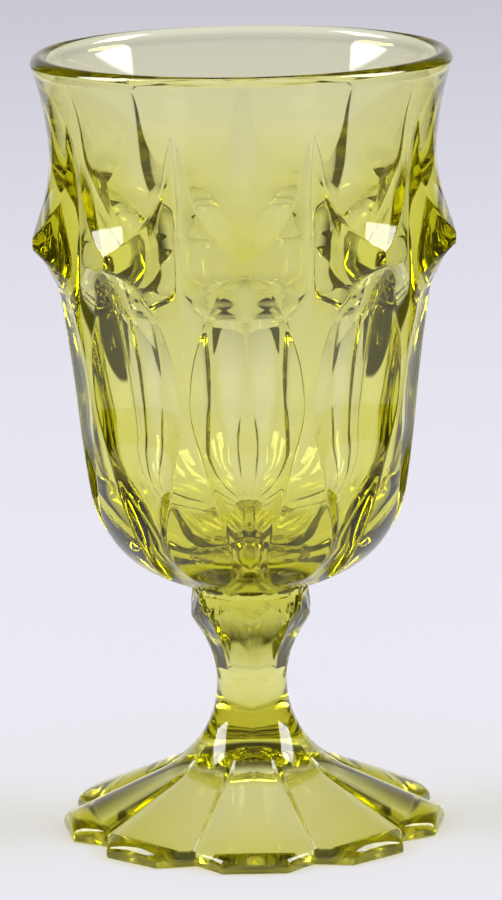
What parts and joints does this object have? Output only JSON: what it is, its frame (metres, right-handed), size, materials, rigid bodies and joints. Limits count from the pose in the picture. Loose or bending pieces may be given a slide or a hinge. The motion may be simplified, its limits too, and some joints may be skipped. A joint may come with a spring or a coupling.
{
  "type": "iced tea glass",
  "caption": "Footed iced tea glass of olive green pressed glass, with a ring of pointed teeth and tall ovals round the bowl, a short faceted stem and a petal-edged foot, to hold a cold drink.",
  "frame": {"origin": "On the table, at the middle of the foot", "axes": "+Z is the upright axis of the glass, from the foot to the rim; -Y points at the front petal and the front oval"},
  "size_m": [0.0908, 0.0894, 0.165],
  "materials": {
    "bowl_glass": "olive green pressed glass, fire polished",
    "stem_glass": "olive green pressed glass, fire polished",
    "foot_glass": "olive green pressed glass, fire polished"
  },
  "bodies": {
    "root": {"bowl": "bowl_glass", "stem": "stem_glass", "foot": "foot_glass"}
  },
  "joints": []
}
